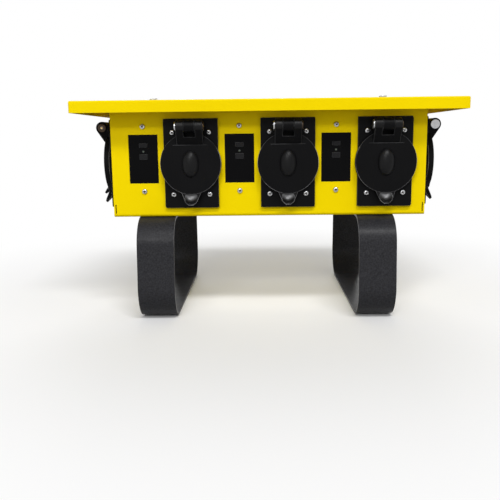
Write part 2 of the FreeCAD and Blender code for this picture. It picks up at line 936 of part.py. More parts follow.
def breaker_toggle(poles):
    """Breaker lever on its round hub, thrown up."""
    half = toggle_half_width(poles)
    pivot = nose_face - toggle_pivot
    lever = side_profile(
        [
            (pivot, -toggle_radius / 2),
            (pivot + toggle_length, -toggle_tip / 2),
            (pivot + toggle_length, toggle_tip / 2),
            (pivot, toggle_radius / 2),
        ],
        -half,
        half,
    )
    lever.rotate(vec(0, -pivot, 0), vec(1, 0, 0), -toggle_tilt)
    return lever.fuse(rod_x(toggle_radius, -half, half, pivot, 0)).removeSplitter()


def dead_front():
    """Plate behind the door opening, slotted for the breakers' noses."""
    plate = slab(dead_front_width, dead_front_height, 0, -sheet - dead_front_thickness, -sheet)
    slot = slab(
        row_width + 2 * slip,
        nose_height + 2 * slip,
        0,
        -2 * sheet - dead_front_thickness,
        0,
    )
    return plate.cut(slot)


def din_rail():
    """Hat-section rail that the breakers clip to."""
    half = row_width / 2 + rail_overhang
    crown = rail_hat / 2
    brim = rail_width / 2
    front = rail_out
    back = rail_out - rail_depth
    points = [
        (front, -brim),
        (front, -crown + rail_sheet),
        (back + rail_sheet, -crown + rail_sheet),
        (back + rail_sheet, crown - rail_sheet),
        (front, crown - rail_sheet),
        (front, brim),
        (front - rail_sheet, brim),
        (front - rail_sheet, crown),
        (back, crown),
        (back, -crown),
        (front - rail_sheet, -crown),
        (front - rail_sheet, -brim),
    ]
    return side_profile(points, -half, half)


def breaker_bracket():
    """Folded upright behind the rail, its foot on the floor of the box."""
    floor = box_floor + sheet
    top = box_floor + door_centre_rise + rail_width / 2
    path = [(bracket_y - bracket_foot, floor), (bracket_y, floor), (bracket_y, top)]
    width = row_width + 2 * bracket_overhang
    plate = folded_strip(path, [bend], sheet, to_yz, vec(width, 0, 0))
    plate.translate(vec(door_centre_x - width / 2, 0, 0))
    return plate


def neutral_posts():
    """Insulating posts under the neutral bar."""
    floor = box_floor + sheet
    return [
        post(neutral_post_radius, floor, floor + neutral_post_height, x, neutral_y)
        for x in (neutral_left_x, neutral_right_x)
    ]


def neutral_bar():
    """Slotted bar that joins the neutral wires."""
    low = box_floor + sheet + neutral_post_height
    high = low + neutral_height
    left = neutral_left_x - neutral_overhang
    right = neutral_right_x + neutral_overhang
    front = neutral_y - neutral_width / 2
    back = neutral_y + neutral_width / 2
    step = (right - left) / neutral_slot_count
    slots = []
    for i in range(neutral_slot_count):
        x = left + step * (i + 0.5)
        half = neutral_slot_width / 2
        slots.append(block(x - half, x + half, front, back, high - neutral_slot_depth, high))
    return block(left, right, front, back, low, high).cut(slots)


def ground_lug():
    """Lug that bonds the earth wires to the box."""
    floor = box_floor + sheet
    left = lug_x - lug_width / 2
    front = lug_y - lug_length / 2
    lug = block(left, left + lug_width, front, front + lug_length, floor, floor + lug_height)
    wire_from = vec(lug_x, front, floor + lug_height / 2)
    return lug.cut(Part.makeCylinder(lug_hole_radius, lug_length, wire_from, vec(0, 1, 0)))


def placed_outlets(shape, walls=("front", "back", "left", "right")):
    """Copies of one shape at every outlet on the named walls."""
    return [on_wall(shape, wall, at, plate_rise) for wall, at in outlets.values() if wall in walls]


def at_breaker(shape, x):
    moved = shape.copy()
    moved.translate(vec(x, 0, 0))
    return on_wall(moved, "back", door_centre_x, door_centre_rise)


def export(node, solids):
    """Write one node: a single solid, or a group of separate ones."""
    shape = Part.makeCompound(solids) if isinstance(solids, list) else solids
    shape.exportStep("parts/" + node + ".step")


def build():
    os.makedirs("parts", exist_ok=True)
    export("enclosure_tub", enclosure_tub())
    for side in ("left", "right"):
        export(side + "_side_panel", side_panel(side))
    export("roof", roof())
    export("roof_screws", roof_screws())
    export("left_foot", foot(foot_left_x))
    export("right_foot", foot(foot_right_x))
    export("foot_bolts", foot_bolts())
    export("foot_nuts", foot_nuts())

    plate = outlet_plate()
    for wall, node in (
        ("front", "front_outlet_plates"),
        ("back", "back_outlet_plates"),
        ("left", "left_outlet_plate"),
        ("right", "right_outlet_plates"),
    ):
        export(node, placed_outlets(plate, (wall,)))
    export("plate_gaskets", placed_outlets(plate_gasket()))
    export("receptacles", placed_outlets(receptacle()))
    export("lid_hinge_pins", placed_outlets(lid_pin()))
    lid = flip_lid(lid_skirt_depth, lid_skirt_depth, tab_flare)
    for name, (wall, at) in outlets.items():
        export("lid_" + name, on_wall(lid, wall, at, plate_rise))

    wall, at = inlet_site
    export("inlet_housing", on_wall(inlet_housing(), wall, at, plate_rise))
    export("inlet_insert", on_wall(inlet_insert(), wall, at, plate_rise))
    export("inlet_blades", [on_wall(blade, wall, at, plate_rise) for blade in inlet_blades()])
    inlet_lid = flip_lid(inlet_skirt_depth, inlet_tab_depth, inlet_tab_flare)
    inlet_lid = outward(inlet_lid, inlet_lid_shift)
    export("inlet_lid", on_wall(inlet_lid, wall, at, plate_rise))
    export("inlet_hinge_pin", on_wall(outward(lid_pin(), inlet_lid_shift), wall, at, plate_rise))

    export("gfci_bodies", [on_wall(gfci_body(), wall, at, gfci_rise) for wall, at in gfcis])
    export("gfci_lamps", [on_wall(gfci_lamp(), wall, at, gfci_rise) for wall, at in gfcis])
    for i, (wall, at) in enumerate(gfcis, start=1):
        test = gfci_button(test_height, test_rise)
        reset = gfci_button(reset_height, reset_rise)
        export("test_button_%d" % i, on_wall(test, wall, at, gfci_rise))
        export("reset_button_%d" % i, on_wall(reset, wall, at, gfci_rise))

    for node, shape in (
        ("access_door", access_door()),
        ("door_hinge_leaf", door_hinge_leaf()),
        ("door_hinge_pin", door_hinge_pin()),
        ("dead_front", dead_front()),
        ("din_rail", din_rail()),
    ):
        export(node, on_wall(shape, "back", door_centre_x, door_centre_rise))
    export("breaker_bodies", [at_breaker(breaker_body(poles), x) for x, poles in breaker_sites()])
    for i, (x, poles) in enumerate(breaker_sites(), start=1):
        export("breaker_toggle_%d" % i, at_breaker(breaker_toggle(poles), x))
    export("breaker_bracket", breaker_bracket())
    export("neutral_posts", neutral_posts())
    export("neutral_bar", neutral_bar())
    export("ground_lug", ground_lug())


build()
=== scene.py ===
import json
import math

import bmesh
import bpy
from mathutils import Matrix, Vector

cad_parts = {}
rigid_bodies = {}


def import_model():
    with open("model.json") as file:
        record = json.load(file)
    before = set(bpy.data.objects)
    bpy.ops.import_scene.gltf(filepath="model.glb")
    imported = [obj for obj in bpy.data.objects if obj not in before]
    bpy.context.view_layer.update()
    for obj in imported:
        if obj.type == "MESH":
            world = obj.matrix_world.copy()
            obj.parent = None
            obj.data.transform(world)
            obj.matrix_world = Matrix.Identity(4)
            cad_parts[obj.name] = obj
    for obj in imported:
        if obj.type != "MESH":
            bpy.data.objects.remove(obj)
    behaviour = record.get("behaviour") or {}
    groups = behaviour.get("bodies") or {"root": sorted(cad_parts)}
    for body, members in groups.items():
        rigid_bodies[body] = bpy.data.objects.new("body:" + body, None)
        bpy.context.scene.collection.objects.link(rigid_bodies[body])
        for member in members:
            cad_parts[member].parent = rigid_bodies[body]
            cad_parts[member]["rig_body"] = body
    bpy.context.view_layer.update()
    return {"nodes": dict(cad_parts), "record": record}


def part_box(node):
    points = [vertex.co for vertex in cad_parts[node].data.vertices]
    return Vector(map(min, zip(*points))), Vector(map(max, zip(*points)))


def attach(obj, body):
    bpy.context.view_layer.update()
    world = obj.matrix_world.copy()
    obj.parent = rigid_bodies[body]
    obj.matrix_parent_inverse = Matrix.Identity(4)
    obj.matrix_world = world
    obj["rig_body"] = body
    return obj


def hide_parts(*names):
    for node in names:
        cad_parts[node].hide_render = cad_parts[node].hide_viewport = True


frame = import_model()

MM = 0.001
UP = Vector((0.0, 0.0, 1.0))
DOWN = Vector((0.0, 0.0, -1.0))
BACKWARD = Vector((0.0, 1.0, 0.0))
HALVES = (-0.5, 0.5)

# Camera, as fitted to the picture: place and sensor in millimetres, angles in degrees, focal length and
# picture size in pixels
CAMERA_PLACE = (-9.89, -963.05, 237.08)
CAMERA_YAW = -1.03
CAMERA_PITCH = -10.04
CAMERA_ROLL = -0.67
CAMERA_FOCAL = 643.58
IMAGE_SIZE = 500
SENSOR = 36.0

# Lamps: the height that they point at, in millimetres, and how far off they stand, in metres
LAMP_TARGET = 180.0
LAMP_DISTANCE = 4.8

# Floor: its tone as seen, and as it throws light back on the object, and its roughness
FLOOR_SEEN = (0.9, 0.9, 0.9)
FLOOR_BOUNCE = (0.36, 0.36, 0.36)
FLOOR_ROUGHNESS = 0.9

# Floor: how far it lies below the feet, in millimetres, and its radius and the distances between which
# it fades to white, in metres
FLOOR_DROP = 0.5
FLOOR_RADIUS = 8.0
FLOOR_SIDES = 96
FLOOR_FADE = (0.30, 0.75)

# Noise in the finishes: features per metre and detail
CLOUD_SCALE = 14.0
CLOUD_DETAIL = 3.0
COAT_SCUFFS = (60.0, 6.0)
COAT_SMEARS = (45.0, 4.0)
COAT_BUMP_DETAIL = 2.0
METAL_CLOUDS = (160.0, 4.0)
METAL_SMEARS = (420.0, 4.0)
METAL_BUMP_DETAIL = 3.0
NOISE_ROUGHNESS = 0.55

# The part of the noise's range that is spread over a finish's range, for soft and for crisper changes
SOFT_SPREAD = (0.3, 0.7)
CRISP_SPREAD = (0.35, 0.65)

# Least part of the rubbed tone that shows on a rubbed edge
LEAST_SCUFF = 0.25

# Strengths of the bump layers, and the scale and depth in millimetres of the metals' scratches
PEEL_STRENGTH = 0.5
GRAIN_STRENGTH = 0.6
SCRATCH_STRENGTH = 0.4
METAL_SCRATCHES = (1800.0, 0.03)

# Finishing of the construction's solids: distances in millimetres, angles in degrees
WELD = 0.002
FLAT_ANGLE = 0.5
SHARP_ANGLE = 28.0
SMOOTH_ANGLE = 40.0
ROUND_STEPS = 2

# Name of the mesh layer that says how much lighter tone a piece gets: wear, and on the lids a painted
# highlight
WEAR_AND_HIGHLIGHT_LAYER = "rubbed"

# Places of the further finishes in the material list of a lid and of a screw
SCOOP_FINISH = 1
KNOB_FINISH = 2
# The screws' second finish, dark bronze, is painted shade in their cross recesses
RECESS_SHADE_FINISH = 1

# Rounding of sharp edges by material slot, and by node where a piece differs, in millimetres
SLOT_ROUNDING = {
    "yellow_paint": 0.35,
    "black_paint": 0.6,
    "black_plastic": 0.8,
    "device_plastic": 0.35,
    "button_plastic": 0.5,
    "core_plastic": 0.4,
    "lamp": 0.15,
    "zinc": 0.35,
    "steel": 0.2,
    "brass": 0.25,
    "rubber": 0.2,
    "breaker_plastic": 0.5,
    "toggle_plastic": 0.6,
}
NODE_ROUNDING = {
    "lid_hinge_pins": 0.25,
    "inlet_hinge_pin": 0.25,
    "enclosure_tub": 0.7,
    "left_side_panel": 0.7,
    "right_side_panel": 0.7,
}
LID_ROUNDING = 0.5

# Screw heads: radius and height, in millimetres
PLATE_SCREW = (3.4, 2.3)
MODULE_SCREW = (3.5, 2.4)
HINGE_SCREW = (2.3, 1.3)
FLOOR_SCREW = (3.2, 2.2)

# Section of a screw head, as shares of its radius and height
SCREW_SIDES = 24
SCREW_PROFILE = ((1.0, 0.0), (1.0, 0.30), (0.95, 0.60), (0.80, 0.85), (0.54, 1.0))

# Cross recess of a screw head: an arm's reach and half width as shares of the radius, and its level as a
# share of the height
RECESS_TOP = (0.60, 0.18, 0.97)
RECESS_FLOOR = (0.42, 0.11, 0.15)
CROSS_ARMS = 4

# How much further each screw is turned than the one before it, in degrees
SCREW_TURN = 137.5

# Push nuts on the smaller ends of the lids' pins: where they sit on the pin, and the sections
# that are turned into the nut and into the pin's riveted end, as radius and height, in millimetres
PIN_END = 18.25
NUT_SECTION = (
    (1.7, 0.02),
    (2.4, 0.22),
    (4.7, 0.28),
    (5.4, -0.1),
    (5.45, -1.1),
    (5.2, -1.1),
    (5.2, 0.02),
)
RIVET_SECTION = ((0.0, 0.42), (0.8, 0.36), (1.35, 0.18), (1.5, -0.05), (0.0, -0.05))
TURNED_SIDES = 40

# Thumb knob of a lid, in millimetres: half its width and length, and the middle of its foot as seen
# from the lid's pin, to the right, upward and outward
KNOB_HALF_WIDTH = 11.0
KNOB_HALF_LENGTH = 17.5
KNOB_FOOT = Vector((0.0, -47.0, -4.3))
KNOB_CUTS = 5

# Thumb scoops in the lids' tabs, each a part of a ball, in millimetres: the ball's middle as seen from
# the lid's pin, and its radius
OUTLET_SCOOP = (Vector((0.0, -85.64, 7.24)), 13.0)
INLET_SCOOP = (Vector((0.0, -82.06, 10.90)), 16.43)

# Radius of the round on a lid's hinge ears, in millimetres
BARREL_RADIUS = 8.1

# How near a face's corners lie to a scoop's ball or to the ears' round to belong to it, in millimetres
ROUND_CLOSENESS = 0.15

# A lid's pin-side edges get less wear and painted highlight: how far down, in millimetres, and the share
KNUCKLE_DROP = 27.0
KNUCKLE_RUB = 0.3

# Where the painted highlight lies in a scoop, a crescent, in millimetres: how far below the lid's pin,
# half the height and half the width of the crescent, and how far its ends rise
HIGHLIGHT_DROP = 90.0
HIGHLIGHT_HALF_HEIGHT = 2.1
HIGHLIGHT_HALF_WIDTH = 8.5
HIGHLIGHT_RISE = 3.5

# Taper of a lid's tab, in millimetres: where below the lid's pin it starts and ends, and the share of
# the tip's width that it takes away
TAPER_START = 92.0
TAPER_END = 99.0
TAPER_SHARE = 0.4

# How far below a lid's pin its tab runs out too thin to be rounded, in millimetres
THIN_DROP = 100.3

# Places of the screws, in millimetres, and along the hinge leaf as shares of its length
PLATE_THICKNESS = 4.0
PLATE_SCREW_SPACING = (46.6, 79.0)
MODULE_SCREW_SPACING = 83.3
TEST_BUTTON_RISE = 17.6
FLANGE_THICKNESS = 5.0
FLANGE_SCREW_SPACING = (68.0, 68.0)
HINGE_SCREW_SHARES = (0.04, 0.14, 0.5, 0.86, 0.96)
HINGE_SCREW_DROP = 3.6
DOOR_SCREW_DROP = 4.5
SHELF_WIDTH = 12.0
LEAF_THICKNESS = 1.5
FLOOR_SCREW_PLACES = ((-55.0, -1.0), (-39.0, 58.0), (13.0, -29.0), (56.0, -37.0), (76.0, 4.0))


# Shader nodes


def add(tree, kind, inputs=None, **settings):
    """Add a shader node. An input is a value, or the output socket that feeds it."""
    node = tree.nodes.new(kind)
    for name, value in settings.items():
        setattr(node, name, value)
    for name, value in (inputs or {}).items():
        if isinstance(value, bpy.types.NodeSocket):
            tree.links.new(value, node.inputs[name])
        else:
            node.inputs[name].default_value = value
    return node


def new_material(name):
    """An empty material: its tree, its principled shader and object coordinates."""
    material = bpy.data.materials.new(name)
    material.use_nodes = True
    tree = material.node_tree
    shader = tree.nodes["Principled BSDF"]
    place = add(tree, "ShaderNodeTexCoord").outputs["Object"]
    return material, tree, shader, place


def noise(tree, place, scale, detail):
    """Noise over the surface, with its scale in features per metre."""
    inputs = {"Vector": place, "Scale": scale, "Detail": detail, "Roughness": NOISE_ROUGHNESS}
    return add(tree, "ShaderNodeTexNoise", inputs).outputs["Fac"]


def remap(tree, value, low, high, to_low, to_high):
    inputs = {"Value": value, "From Min": low, "From Max": high, "To Min": to_low, "To Max": to_high}
    return add(tree, "ShaderNodeMapRange", inputs).outputs["Result"]


def uneven(tree, place, scale, detail, spread, low, high):
    """Noise whose middle part is spread from a low value to a high one."""
    return remap(tree, noise(tree, place, scale, detail), *spread, low, high)


def combine(tree, operation, first, second):
    return add(tree, "ShaderNodeMath", {0: first, 1: second}, operation=operation).outputs[0]


def blend_colour(tree, factor, first, second):
    """A mix of two colours. The mix node's sockets share their names, so they go by number."""
    inputs = {0: factor, 6: first, 7: second}
    return add(tree, "ShaderNodeMix", inputs, data_type="RGBA").outputs[2]


def edge_mask(tree):
    """One where a piece gets the lighter tone of wear, and on the lids of a painted highlight, nought
    elsewhere.
    """
    return add(tree, "ShaderNodeAttribute", attribute_name=WEAR_AND_HIGHLIGHT_LAYER).outputs["Fac"]


def bumps(tree, layers):
    """Stacked bump: each layer is a height socket, a depth in millimetres and a strength."""
    normal = None
    for height, depth, strength in layers:
        inputs = {"Height": height, "Distance": depth * MM, "Strength": strength}
        if normal is not None:
            inputs["Normal"] = normal
        normal = add(tree, "ShaderNodeBump", inputs).outputs["Normal"]
    return normal


def rgba(colour):
    return (*colour, 1.0)


# Materials


def coated(name, colour, second, gloss, grain, peel, edge, specular, clouds=CLOUD_SCALE):
    """Paint or moulded plastic: clouded colour, uneven gloss, grain, and edges rubbed to another tone,
    which on the lids is a painted highlight too.

    gloss is the lowest and highest roughness. grain and peel are each a scale and a depth in millimetres.
    edge is the colour of rubbed edges and its share; on the lids it is partly a painted highlight. clouds
    is the scale on which the two colours change.
    """
    material, tree, shader, place = new_material(name)
    share = uneven(tree, place, clouds, CLOUD_DETAIL, SOFT_SPREAD, 0.0, 1.0)
    tone = blend_colour(tree, share, rgba(colour), rgba(second))
    # Lighter edge tone: wear, and on the lids' rims and scoops a painted highlight
    edge_colour, edge_share = edge
    scuffs = uneven(tree, place, *COAT_SCUFFS, CRISP_SPREAD, LEAST_SCUFF * edge_share, edge_share)
    lighter_edge_share = combine(tree, "MULTIPLY", edge_mask(tree), scuffs)
    tree.links.new(blend_colour(tree, lighter_edge_share, tone, rgba(edge_colour)), shader.inputs["Base Color"])
    smears = uneven(tree, place, *COAT_SMEARS, SOFT_SPREAD, *gloss)
    tree.links.new(smears, shader.inputs["Roughness"])
    layers = []
    for (scale, depth), strength in ((peel, PEEL_STRENGTH), (grain, GRAIN_STRENGTH)):
        layers.append((noise(tree, place, scale, COAT_BUMP_DETAIL), depth, strength))
    tree.links.new(bumps(tree, layers), shader.inputs["Normal"])
    shader.inputs["Specular IOR Level"].default_value = specular
    return material


def metal(name, colour, second, gloss):
    """Plated or bare metal: clouded colour, uneven gloss and fine scratches."""
    material, tree, shader, place = new_material(name)
    share = uneven(tree, place, *METAL_CLOUDS, SOFT_SPREAD, 0.0, 1.0)
    tree.links.new(blend_colour(tree, share, rgba(colour), rgba(second)), shader.inputs["Base Color"])
    smears = uneven(tree, place, *METAL_SMEARS, SOFT_SPREAD, *gloss)
    tree.links.new(smears, shader.inputs["Roughness"])
    scale, depth = METAL_SCRATCHES
    layers = [(noise(tree, place, scale, METAL_BUMP_DETAIL), depth, SCRATCH_STRENGTH)]
    tree.links.new(bumps(tree, layers), shader.inputs["Normal"])
    shader.inputs["Metallic"].default_value = 1.0
    return material


def black_moulding(name, gloss, edge, specular):
    """The black plastic of the plates and lids, with gloss, edge and specular as in a coated finish."""
    return coated(
        name,
        colour=(0.0026, 0.0026, 0.0030),
        second=(0.0038, 0.0038, 0.0042),
        gloss=gloss,
        grain=(2200.0, 0.03),
        peel=(700.0, 0.03),
        edge=edge,
        specular=specular,
    )


def make_materials():
    """A finish for each material slot, and for the lids, their scoops and knobs, and dark metal."""
    grey = (0.10, 0.10, 0.105)
    worn_and_highlight_grey = (0.34, 0.34, 0.35)
    return {
        "yellow_paint": coated(
            "yellow_powder_coat",
            colour=(0.87, 0.66, 0.0),
            second=(0.84, 0.625, 0.0),
            gloss=(0.34, 0.46),
            grain=(1500.0, 0.02),
            peel=(420.0, 0.06),
            edge=((0.95, 0.80, 0.10), 0.35),
            specular=0.03,
        ),
        "black_paint": coated(
            "black_powder_coat",
            colour=(0.034, 0.034, 0.038),
            second=(0.015, 0.015, 0.017),
            gloss=(0.28, 0.38),
            grain=(650.0, 0.14),
            peel=(300.0, 0.10),
            edge=(grey, 0.15),
            specular=0.09,
            clouds=520.0,
        ),
        "black_plastic": black_moulding("black_moulding", (0.36, 0.46), (grey, 0.5), 0.06),
        # The lids' lighter rims are wear and a painted highlight; the scoops' crescent is a painted
        # highlight
        "lid_plastic": black_moulding("worn_highlit_moulding", (0.52, 0.62), (worn_and_highlight_grey, 0.6), 0.06),
        "scoop_plastic": black_moulding("polished_highlit_moulding", (0.27, 0.33), (worn_and_highlight_grey, 0.9), 0.32),
        "knob_plastic": black_moulding("thumbed_moulding", (0.35, 0.43), (grey, 0.3), 0.15),
        "device_plastic": coated(
            "module_moulding",
            colour=(0.0018, 0.0018, 0.0021),
            second=(0.0028, 0.0028, 0.0032),
            gloss=(0.36, 0.50),
            grain=(1800.0, 0.05),
            peel=(600.0, 0.03),
            edge=(grey, 0.3),
            specular=0.04,
        ),
        "button_plastic": coated(
            "button_moulding",
            colour=(0.011, 0.011, 0.012),
            second=(0.008, 0.008, 0.009),
            gloss=(0.40, 0.55),
            grain=(2400.0, 0.03),
            peel=(800.0, 0.02),
            edge=(grey, 0.4),
            specular=0.1,
        ),
        "core_plastic": coated(
            "core_moulding",
            colour=(0.040, 0.040, 0.043),
            second=(0.030, 0.030, 0.033),
            gloss=(0.42, 0.58),
            grain=(2000.0, 0.03),
            peel=(700.0, 0.02),
            edge=(grey, 0.3),
            specular=0.4,
        ),
        "lamp": coated(
            "lamp_lens",
            colour=(0.06, 0.075, 0.06),
            second=(0.045, 0.06, 0.045),
            gloss=(0.10, 0.22),
            grain=(1600.0, 0.01),
            peel=(500.0, 0.01),
            edge=((0.2, 0.22, 0.2), 0.2),
            specular=0.5,
        ),
        "zinc": metal("zinc_plate", (0.54, 0.54, 0.54), (0.43, 0.44, 0.46), (0.24, 0.38)),
        "steel": metal("plain_steel", (0.52, 0.51, 0.50), (0.43, 0.42, 0.41), (0.28, 0.42)),
        "brass": metal("bright_brass", (0.72, 0.52, 0.20), (0.62, 0.43, 0.15), (0.22, 0.36)),
        # Dark bronze: the push nuts' own colour, and painted shade in the screws' cross recesses
        "bronze": metal("dark_bronze", (0.075, 0.055, 0.04), (0.05, 0.036, 0.026), (0.34, 0.5)),
        "rubber": coated(
            "seal_rubber",
            colour=(0.012, 0.012, 0.012),
            second=(0.018, 0.018, 0.018),
            gloss=(0.70, 0.85),
            grain=(1500.0, 0.08),
            peel=(500.0, 0.05),
            edge=(grey, 0.2),
            specular=0.3,
        ),
        "breaker_plastic": coated(
            "breaker_moulding",
            colour=(0.014, 0.014, 0.015),
            second=(0.010, 0.010, 0.011),
            gloss=(0.42, 0.58),
            grain=(2000.0, 0.04),
            peel=(700.0, 0.03),
            edge=(grey, 0.35),
            specular=0.4,
        ),
        "toggle_plastic": coated(
            "toggle_moulding",
            colour=(0.030, 0.030, 0.032),
            second=(0.022, 0.022, 0.024),
            gloss=(0.36, 0.50),
            grain=(2200.0, 0.03),
            peel=(800.0, 0.02),
            edge=(grey, 0.4),
            specular=0.45,
        ),
    }


# Meshes


def in_millimetres(point):
    return Vector(point) / MM


def as_mesh(work, name):
    """Turn a working mesh into a lasting one."""
    mesh = bpy.data.meshes.new(name)
    work.to_mesh(mesh)
    work.free()
    return mesh


def new_object(name, data):
    """An object that is in the scene."""
    made = bpy.data.objects.new(name, data)
    bpy.context.scene.collection.objects.link(made)
    return made


def smooth(mesh):
    """Smooth shading that breaks at sharp edges."""
    mesh.shade_smooth()
    mesh.set_sharp_from_angle(angle=math.radians(SMOOTH_ANGLE))


def show(mesh, name, body, finish):
    """Put a mesh into the scene as a piece of the object that rides on a body."""
    piece = new_object(name, mesh)
    mesh.materials.append(materials[finish])
    smooth(mesh)
    normals = piece.modifiers.new("even_normals", "WEIGHTED_NORMAL")
    normals.keep_sharp = True
    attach(piece, body)
    return piece


def finish_solid(node):
    """A finished copy of a solid: flat faces merged, sharp edges rounded, outer edges marked for a
    lighter tone, which is wear, and on a lid a painted highlight too.

    A lid is reshaped and gets its further finishes too, and only its outer edges are rounded.
    """
    source = frame["nodes"][node]
    slot = source.data.materials[0].name.split(".")[0]
    hinges = [j for j in lid_joints() if j["child"] == source["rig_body"]]
    work = bmesh.new()
    rubbed = work.loops.layers.float.new(WEAR_AND_HIGHLIGHT_LAYER)
    corners = [work.verts.new(v.co) for v in source.data.vertices]
    for face in source.data.polygons:
        work.faces.new([corners[i] for i in face.vertices])
    bmesh.ops.remove_doubles(work, verts=work.verts, dist=WELD * MM)
    bmesh.ops.dissolve_limit(
        work, angle_limit=math.radians(FLAT_ANGLE), verts=work.verts, edges=work.edges
    )
    for joint in hinges:
        make_knob_oval(work, joint)
        mark_scoop(work, joint)
        mark_knob(work, joint)
        mark_barrel(work, joint)
        taper_tab(work, joint)
    sharp = math.radians(SHARP_ANGLE)
    edges = [e for e in work.edges if len(e.link_faces) == 2 and e.calc_face_angle() > sharp]
    if hinges:
        edges = [e for e in edges if e.is_convex and not in_scoop(e) and not at_tip(e, hinges)]
    rounded = bmesh.ops.bevel(
        work,
        geom=edges,
        offset=(LID_ROUNDING if hinges else NODE_ROUNDING.get(node, SLOT_ROUNDING[slot])) * MM,
        offset_type="OFFSET",
        segments=ROUND_STEPS,
        profile=0.5,
        affect="EDGES",
        clamp_overlap=not hinges,
        material=-1,
    )
    # Rounded outer edges get the lighter tone: wear, and on a lid a painted highlight along its rims
    for face in rounded["faces"]:
        if sum(e.calc_face_angle_signed(0.0) * e.calc_length() for e in face.edges) > 0.0:
            for corner in face.loops:
                corner[rubbed] = KNUCKLE_RUB if near_pin(corner.vert, hinges) else 1.0
    mesh = as_mesh(work, node + "_finished")
    piece = show(mesh, node + "_finished", source["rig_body"], "lid_plastic" if hinges else slot)
    if hinges:
        mesh.materials.append(materials["scoop_plastic"])
        mesh.materials.append(materials["knob_plastic"])
    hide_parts(node)


# Lids


def lid_joints():
    """The hinges of the flip lids, each at the middle of its pin."""
    return [j for j in frame["record"]["behaviour"]["joints"] if "lid" in j["child"]]


def lid_axes(joint):
    """Right, up and outward on the wall that a lid is on."""
    right = -Vector(joint["axis"])
    return right, UP, right.cross(UP)


def from_pin(corner, joint):
    """A corner of a lid's mesh as seen from its pin: right, up and out, in millimetres."""
    away = in_millimetres(corner.co) - in_millimetres(joint["pos_m"])
    return Vector([away.dot(axis) for axis in lid_axes(joint)])


def near_pin(corner, hinges):
    return any(from_pin(corner, joint).y > -KNUCKLE_DROP for joint in hinges)


def on_knob(corner, joint):
    place = from_pin(corner, joint) - KNOB_FOOT
    inside = abs(place.x) < KNOB_HALF_WIDTH + WELD and abs(place.y) < KNOB_HALF_LENGTH + WELD
    return inside and place.z > -WELD


def make_knob_oval(work, joint):
    """Draw a lid's round-ended thumb knob in to an oval outline, its height with it."""
    reach = KNOB_HALF_LENGTH - KNOB_HALF_WIDTH
    right, up, out = lid_axes(joint)
    middle = Vector(joint["pos_m"]) + up * (KNOB_FOOT.y * MM)
    for i in range(KNOB_CUTS):
        level = reach * (2.0 * (i + 1) / (KNOB_CUTS + 1) - 1.0)
        faces = [f for f in work.faces if all(on_knob(v, joint) for v in f.verts)]
        edges = dict.fromkeys(e for f in faces for e in f.edges)
        corners = dict.fromkeys(v for f in faces for v in f.verts)
        bmesh.ops.bisect_plane(
            work,
            geom=[*corners, *edges, *faces],
            dist=WELD * MM,
            plane_co=middle + up * (level * MM),
            plane_no=up,
        )
    for corner in [v for v in work.verts if on_knob(v, joint)]:
        place = from_pin(corner, joint) - KNOB_FOOT
        beyond = max(0.0, abs(place.y) - reach)
        plain = math.sqrt(max(0.0, KNOB_HALF_WIDTH**2 - beyond**2))
        oval = KNOB_HALF_WIDTH * math.sqrt(max(0.0, 1.0 - (place.y / KNOB_HALF_LENGTH) ** 2))
        if plain > WELD:
            shrink = 1.0 - oval / plain
            corner.co -= (right * place.x + out * place.z) * (shrink * MM)


def crescent_highlight_share(place):
    """How strongly a place on a scoop gets the painted highlight, most in the middle of a crescent."""
    across = place.x / HIGHLIGHT_HALF_WIDTH
    along = (place.y + HIGHLIGHT_DROP - HIGHLIGHT_RISE * across**2) / HIGHLIGHT_HALF_HEIGHT
    return max(0.0, 1.0 - across**2) * math.exp(-(along**2))


def mark_scoop(work, joint):
    """Give the thumb scoop in a lid's tab its own finish, and mark where its painted highlight lies."""
    rubbed = work.loops.layers.float[WEAR_AND_HIGHLIGHT_LAYER]
    middle, radius = INLET_SCOOP if joint["child"] == "inlet_lid" else OUTLET_SCOOP
    for face in work.faces:
        reaches = [(from_pin(v, joint) - middle).length for v in face.verts]
        if all(abs(reach - radius) < ROUND_CLOSENESS for reach in reaches):
            face.material_index = SCOOP_FINISH
            # Painted highlight: a lighter crescent where the scoop would catch the lamp
            for corner in face.loops:
                corner[rubbed] = crescent_highlight_share(from_pin(corner.vert, joint))


def mark_knob(work, joint):
    """Give a lid's thumb knob its own finish."""
    for face in work.faces:
        if all(on_knob(v, joint) for v in face.verts):
            face.material_index = KNOB_FINISH


def mark_barrel(work, joint):
    """Give the round of a lid's hinge ears the knob's finish."""
    for face in work.faces:
        reaches = [math.hypot(*from_pin(v, joint).yz) for v in face.verts]
        if all(abs(reach - BARREL_RADIUS) < ROUND_CLOSENESS for reach in reaches):
            face.material_index = KNOB_FINISH


def taper_tab(work, joint):
    """Draw the tip of a lid's tab in from both sides."""
    right = lid_axes(joint)[0]
    for corner in work.verts:
        place = from_pin(corner, joint)
        depth = min(1.0, (-place.y - TAPER_START) / (TAPER_END - TAPER_START))
        if depth > 0.0:
            corner.co -= right * (place.x * TAPER_SHARE * depth**2 * MM)


def in_scoop(edge):
    return any(face.material_index == SCOOP_FINISH for face in edge.link_faces)


def at_tip(edge, hinges):
    return any(from_pin(v, joint).y < -THIN_DROP for v in edge.verts for joint in hinges)


# Turned pieces and screws


def loop(work, points):
    """A closed ring of edges through points."""
    corners = [work.verts.new(p) for p in points]
    return [work.edges.new((corners[i - 1], corners[i])) for i in range(len(corners))]


def circle_points(radius, height, sides):
    turns = [2.0 * math.pi * i / sides for i in range(sides)]
    return [Vector((radius * math.cos(t), radius * math.sin(t), height)) for t in turns]


